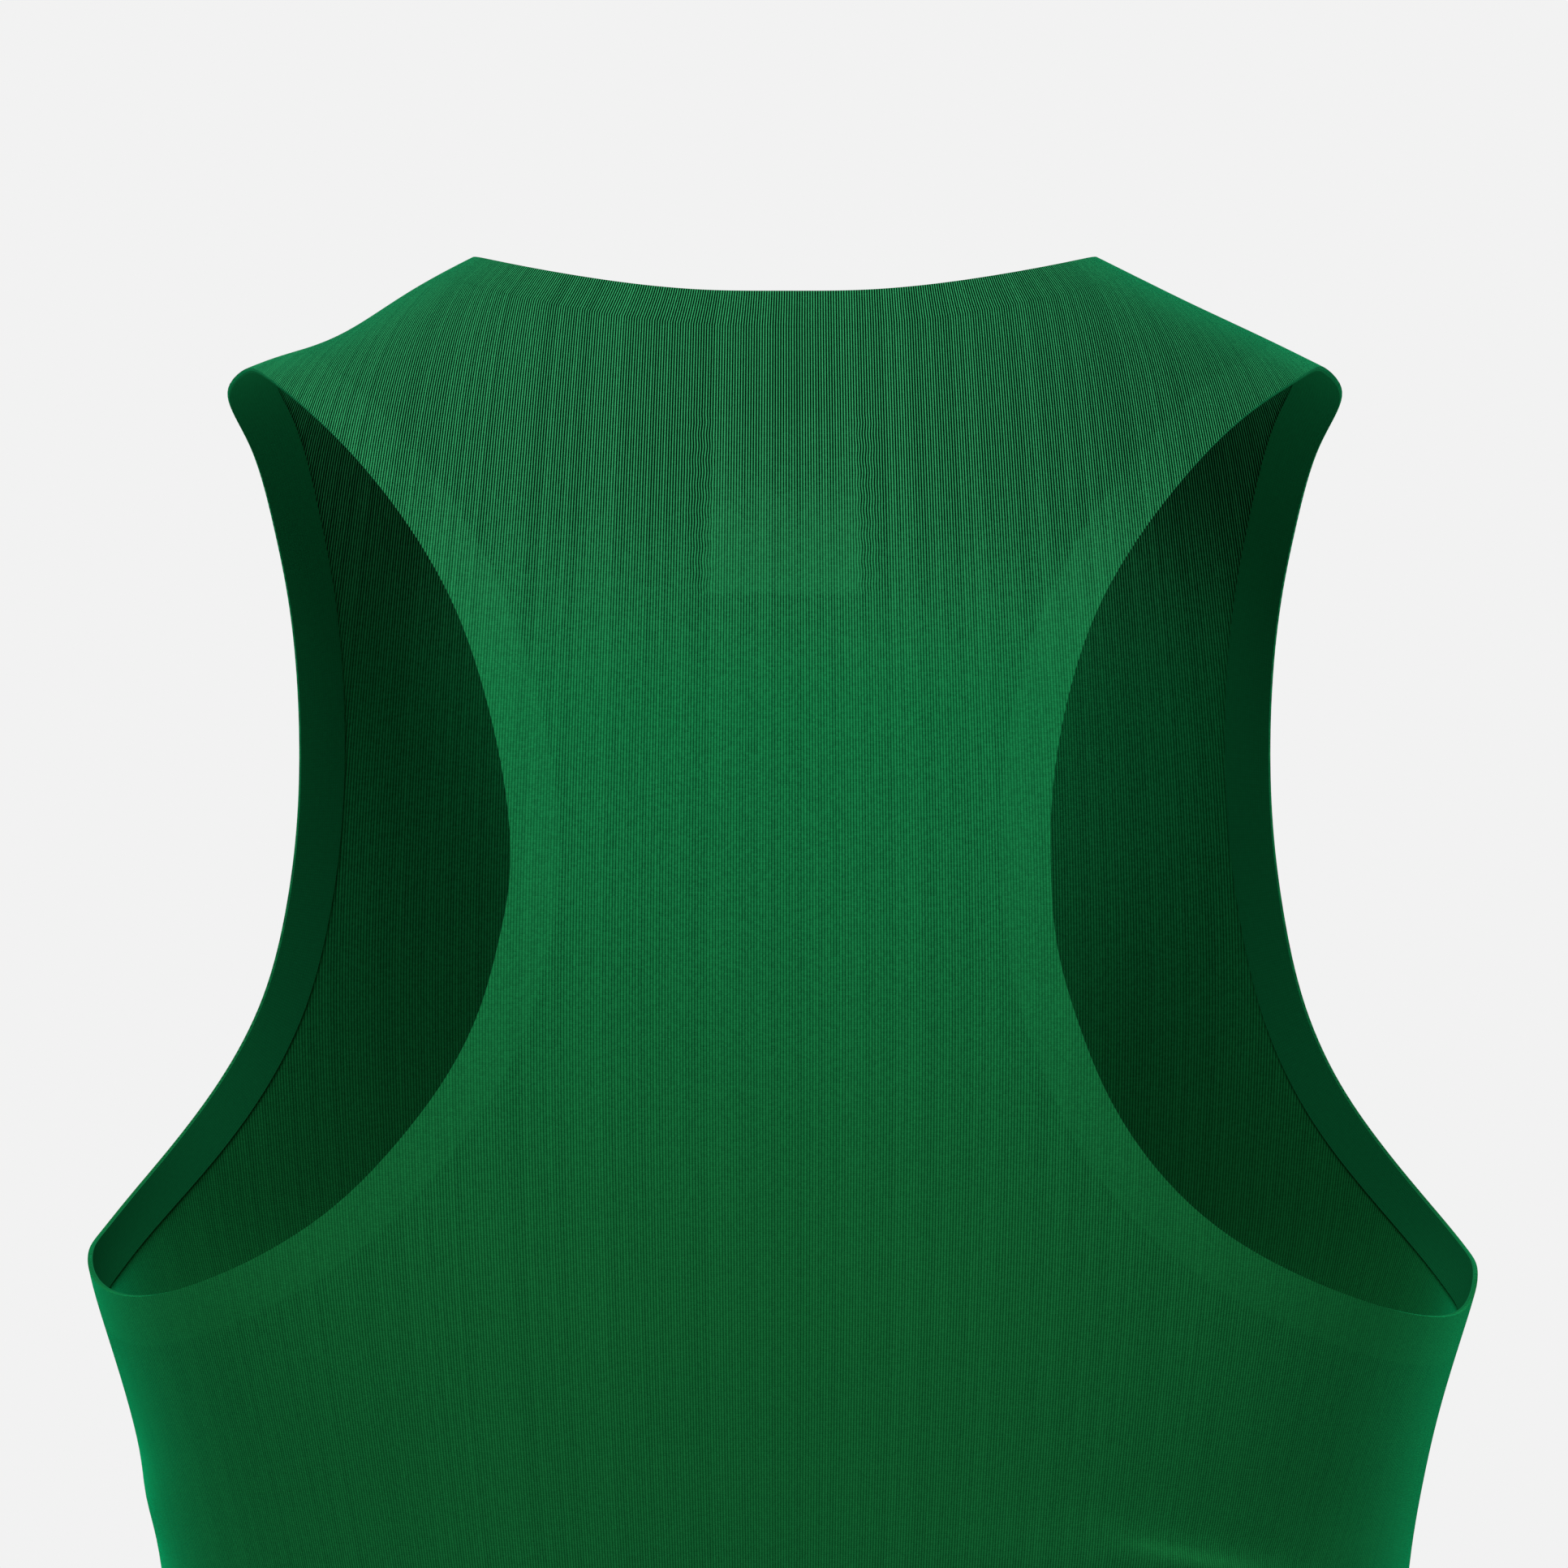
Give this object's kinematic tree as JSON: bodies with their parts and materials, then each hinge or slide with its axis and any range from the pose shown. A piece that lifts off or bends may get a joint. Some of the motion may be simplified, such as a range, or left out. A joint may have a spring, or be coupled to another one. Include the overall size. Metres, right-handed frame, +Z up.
{
  "type": "tank top",
  "caption": "Close-fitting sleeveless sports top with a racerback, raw bonded edges and faint facing strips inside the neck and armholes, in its worn hollow form.",
  "frame": {"origin": "middle of the neck opening, at the height where the neck edge crosses the shoulders, on the line between the shoulders", "axes": "+Z up, -Y towards the wearer's front and +Y towards the back, +X towards the wearer's left"},
  "size_m": [0.3377, 0.2303, 0.68],
  "materials": {
    "cloth": "fine ribbed knit, satin sheen",
    "facing": "smooth bonded knit, matt"
  },
  "bodies": {
    "root": {"back_panel": "cloth", "front_panel": "cloth", "neck_tape": "facing", "armhole_tape_left": "facing", "armhole_tape_right": "facing"}
  },
  "joints": []
}
